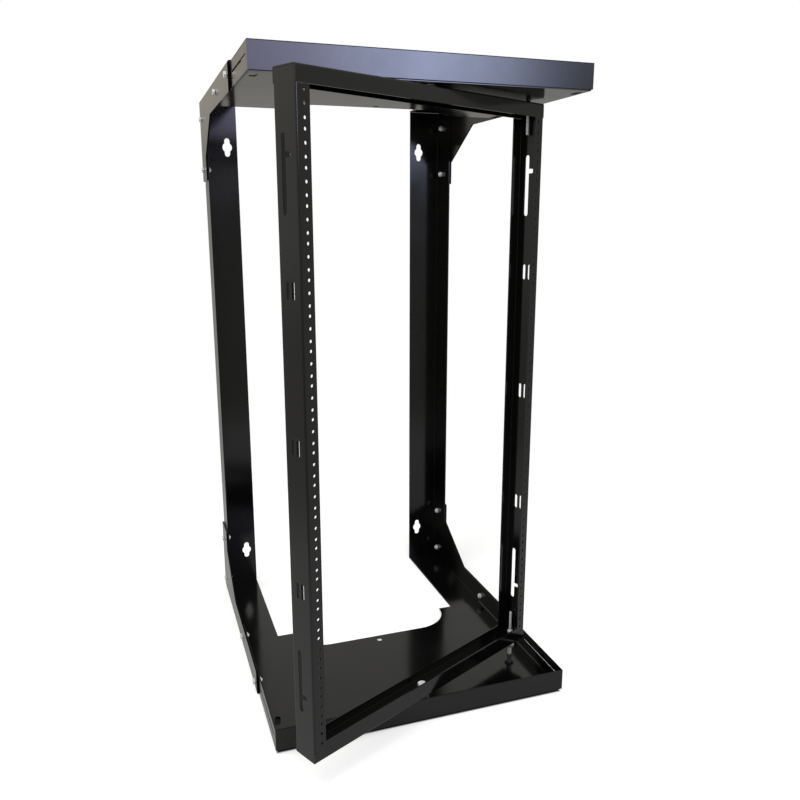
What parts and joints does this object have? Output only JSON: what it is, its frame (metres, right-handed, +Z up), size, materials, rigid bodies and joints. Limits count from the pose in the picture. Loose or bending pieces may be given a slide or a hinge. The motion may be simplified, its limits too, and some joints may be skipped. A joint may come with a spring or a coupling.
{
  "type": "swing-out wall rack",
  "caption": "Black wall rack whose rail frame turns on a centre pivot between two trays on gusseted arms and wall posts.",
  "frame": {"origin": "on the wall face of the left post, on its keyhole line and half-way up", "axes": "+Z up, +X to the right seen from the front, -Y out of the wall towards the front"},
  "size_m": [0.5146, 0.7051, 1.0232],
  "materials": {
    "black_paint": "gloss",
    "bright_zinc": "satin",
    "dark_zinc": "satin"
  },
  "bodies": {
    "wall_frame": {"arm_lower_left": "black_paint", "arm_lower_right": "black_paint", "arm_upper_left": "black_paint", "arm_upper_right": "black_paint", "bolt_lower_left_post_1": "bright_zinc", "bolt_lower_left_post_2": "bright_zinc", "bolt_lower_left_tray_1": "bright_zinc", "bolt_lower_left_tray_2": "bright_zinc", "bolt_lower_right_post_1": "bright_zinc", "bolt_lower_right_post_2": "bright_zinc", "bolt_lower_right_tray_1": "bright_zinc", "bolt_lower_right_tray_2": "bright_zinc", "bolt_upper_left_post_1": "bright_zinc", "bolt_upper_left_post_2": "bright_zinc", "bolt_upper_left_tray_1": "bright_zinc", "bolt_upper_left_tray_2": "bright_zinc", "bolt_upper_right_post_1": "bright_zinc", "bolt_upper_right_post_2": "bright_zinc", "bolt_upper_right_tray_1": "bright_zinc", "bolt_upper_right_tray_2": "bright_zinc", "nut_lower_left_post_1": "bright_zinc", "nut_lower_left_post_2": "bright_zinc", "nut_lower_left_tray_1": "bright_zinc", "nut_lower_left_tray_2": "bright_zinc", "nut_lower_right_post_1": "bright_zinc", "nut_lower_right_post_2": "bright_zinc", "nut_lower_right_tray_1": "bright_zinc", "nut_lower_right_tray_2": "bright_zinc", "nut_upper_left_post_1": "bright_zinc", "nut_upper_left_post_2": "bright_zinc", "nut_upper_left_tray_1": "bright_zinc", "nut_upper_left_tray_2": "bright_zinc", "nut_upper_right_post_1": "bright_zinc", "nut_upper_right_post_2": "bright_zinc", "nut_upper_right_tray_1": "bright_zinc", "nut_upper_right_tray_2": "bright_zinc", "pivot_bolt_lower": "bright_zinc", "pivot_bolt_upper": "bright_zinc", "pivot_boss": "dark_zinc", "pivot_nut_upper": "bright_zinc", "pivot_washer_upper": "dark_zinc", "post_left": "black_paint", "post_right": "black_paint", "tray_lower": "black_paint", "tray_upper": "black_paint"},
    "swing_frame": {"stile_left": "black_paint", "stile_right": "black_paint", "rail_lower": "black_paint", "rail_upper": "black_paint", "latch_guide_lower": "dark_zinc", "latch_guide_upper": "dark_zinc"},
    "latch_lower": {"latch_pin_lower": "bright_zinc"},
    "latch_upper": {"latch_pin_upper": "bright_zinc"}
  },
  "joints": [
    {"name": "frame_pivot", "type": "hinge", "parent": "wall_frame", "child": "swing_frame", "pos_m": [0.2032, -0.576, 0], "axis": [0, 0, 1], "range_deg": [-25.7, 64.3]},
    {"name": "latch_slide_lower", "type": "slide", "parent": "swing_frame", "child": "latch_lower", "axis": [0, 0, 1], "range_m": [0, 0.014]},
    {"name": "latch_slide_upper", "type": "slide", "parent": "swing_frame", "child": "latch_upper", "axis": [0, 0, -1], "range_m": [0, 0.014]}
  ]
}
